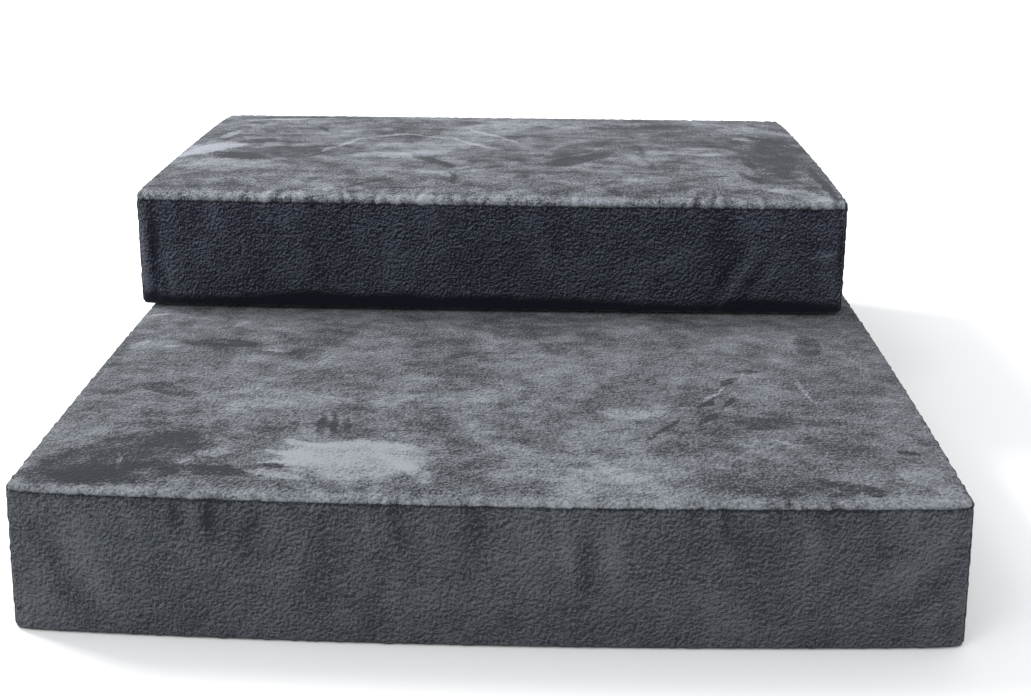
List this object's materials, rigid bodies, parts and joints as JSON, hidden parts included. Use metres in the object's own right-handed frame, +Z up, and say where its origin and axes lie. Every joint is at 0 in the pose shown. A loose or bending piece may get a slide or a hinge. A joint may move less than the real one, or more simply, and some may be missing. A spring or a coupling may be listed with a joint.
{
  "type": "dog steps",
  "caption": "Low foam steps for a dog: two flat zipped velour blocks, a half-depth one held on the back half of a full-depth one by hook and loop tape.",
  "frame": {"origin": "centre of the lower block's underside, on the floor", "axes": "+X to the right as the dog's owner faces the steps, +Y from the front step to the back, +Z up"},
  "size_m": [0.917, 0.9637, 0.3033],
  "materials": {
    "velour": "short brushed pile, anthracite",
    "base_cloth": "woven, with small grip dots",
    "foam": "open-cell polyurethane foam",
    "zip_tape": "woven tape",
    "zip_coil": "nylon coil",
    "zip_metal": "black enamelled zinc",
    "hook_tape": "moulded hooks",
    "loop_tape": "napped loops"
  },
  "bodies": {
    "lower_block": {"lower_foam_core": "foam", "lower_top_panel": "velour", "lower_front_panel": "velour", "lower_left_panel": "velour", "lower_right_panel": "velour", "lower_back_strip_upper": "velour", "lower_back_strip_lower": "velour", "lower_underside_panel": "base_cloth", "lower_zip_tape_upper": "zip_tape", "lower_zip_tape_lower": "zip_tape", "lower_zip_coil_upper": "zip_coil", "lower_zip_coil_lower": "zip_coil", "lower_zip_end_stops": "zip_metal", "hook_tape_strips": "hook_tape"},
    "lower_zip_slider": {"lower_zip_slider": "zip_metal"},
    "lower_zip_pull": {"lower_zip_pull": "zip_metal"},
    "upper_block": {"upper_foam_core": "foam", "upper_top_panel": "velour", "upper_front_panel": "velour", "upper_left_panel": "velour", "upper_right_panel": "velour", "upper_back_strip_upper": "velour", "upper_back_strip_lower": "velour", "upper_underside_panel": "base_cloth", "upper_zip_tape_upper": "zip_tape", "upper_zip_tape_lower": "zip_tape", "upper_zip_coil_upper": "zip_coil", "upper_zip_coil_lower": "zip_coil", "upper_zip_end_stops": "zip_metal", "loop_tape_strips": "loop_tape"},
    "upper_zip_slider": {"upper_zip_slider": "zip_metal"},
    "upper_zip_pull": {"upper_zip_pull": "zip_metal"}
  },
  "joints": [
    {"name": "upper_block_lift", "type": "slide", "parent": "lower_block", "child": "upper_block", "axis": [0, 0, 1], "range_m": [0, 0.25]},
    {"name": "lower_zip_travel", "type": "slide", "parent": "lower_block", "child": "lower_zip_slider", "axis": [-1, 0, 0], "range_m": [0, 0.84]},
    {"name": "lower_zip_pull_swing", "type": "hinge", "parent": "lower_zip_slider", "child": "lower_zip_pull", "pos_m": [0.42, 0.48155, 0.075], "axis": [0, 0, -1], "range_deg": [0, 180]},
    {"name": "upper_zip_travel", "type": "slide", "parent": "upper_block", "child": "upper_zip_slider", "axis": [-1, 0, 0], "range_m": [0, 0.84]},
    {"name": "upper_zip_pull_swing", "type": "hinge", "parent": "upper_zip_slider", "child": "upper_zip_pull", "pos_m": [0.403, 0.48155, 0.2283], "axis": [0, 0, -1], "range_deg": [0, 180]}
  ]
}
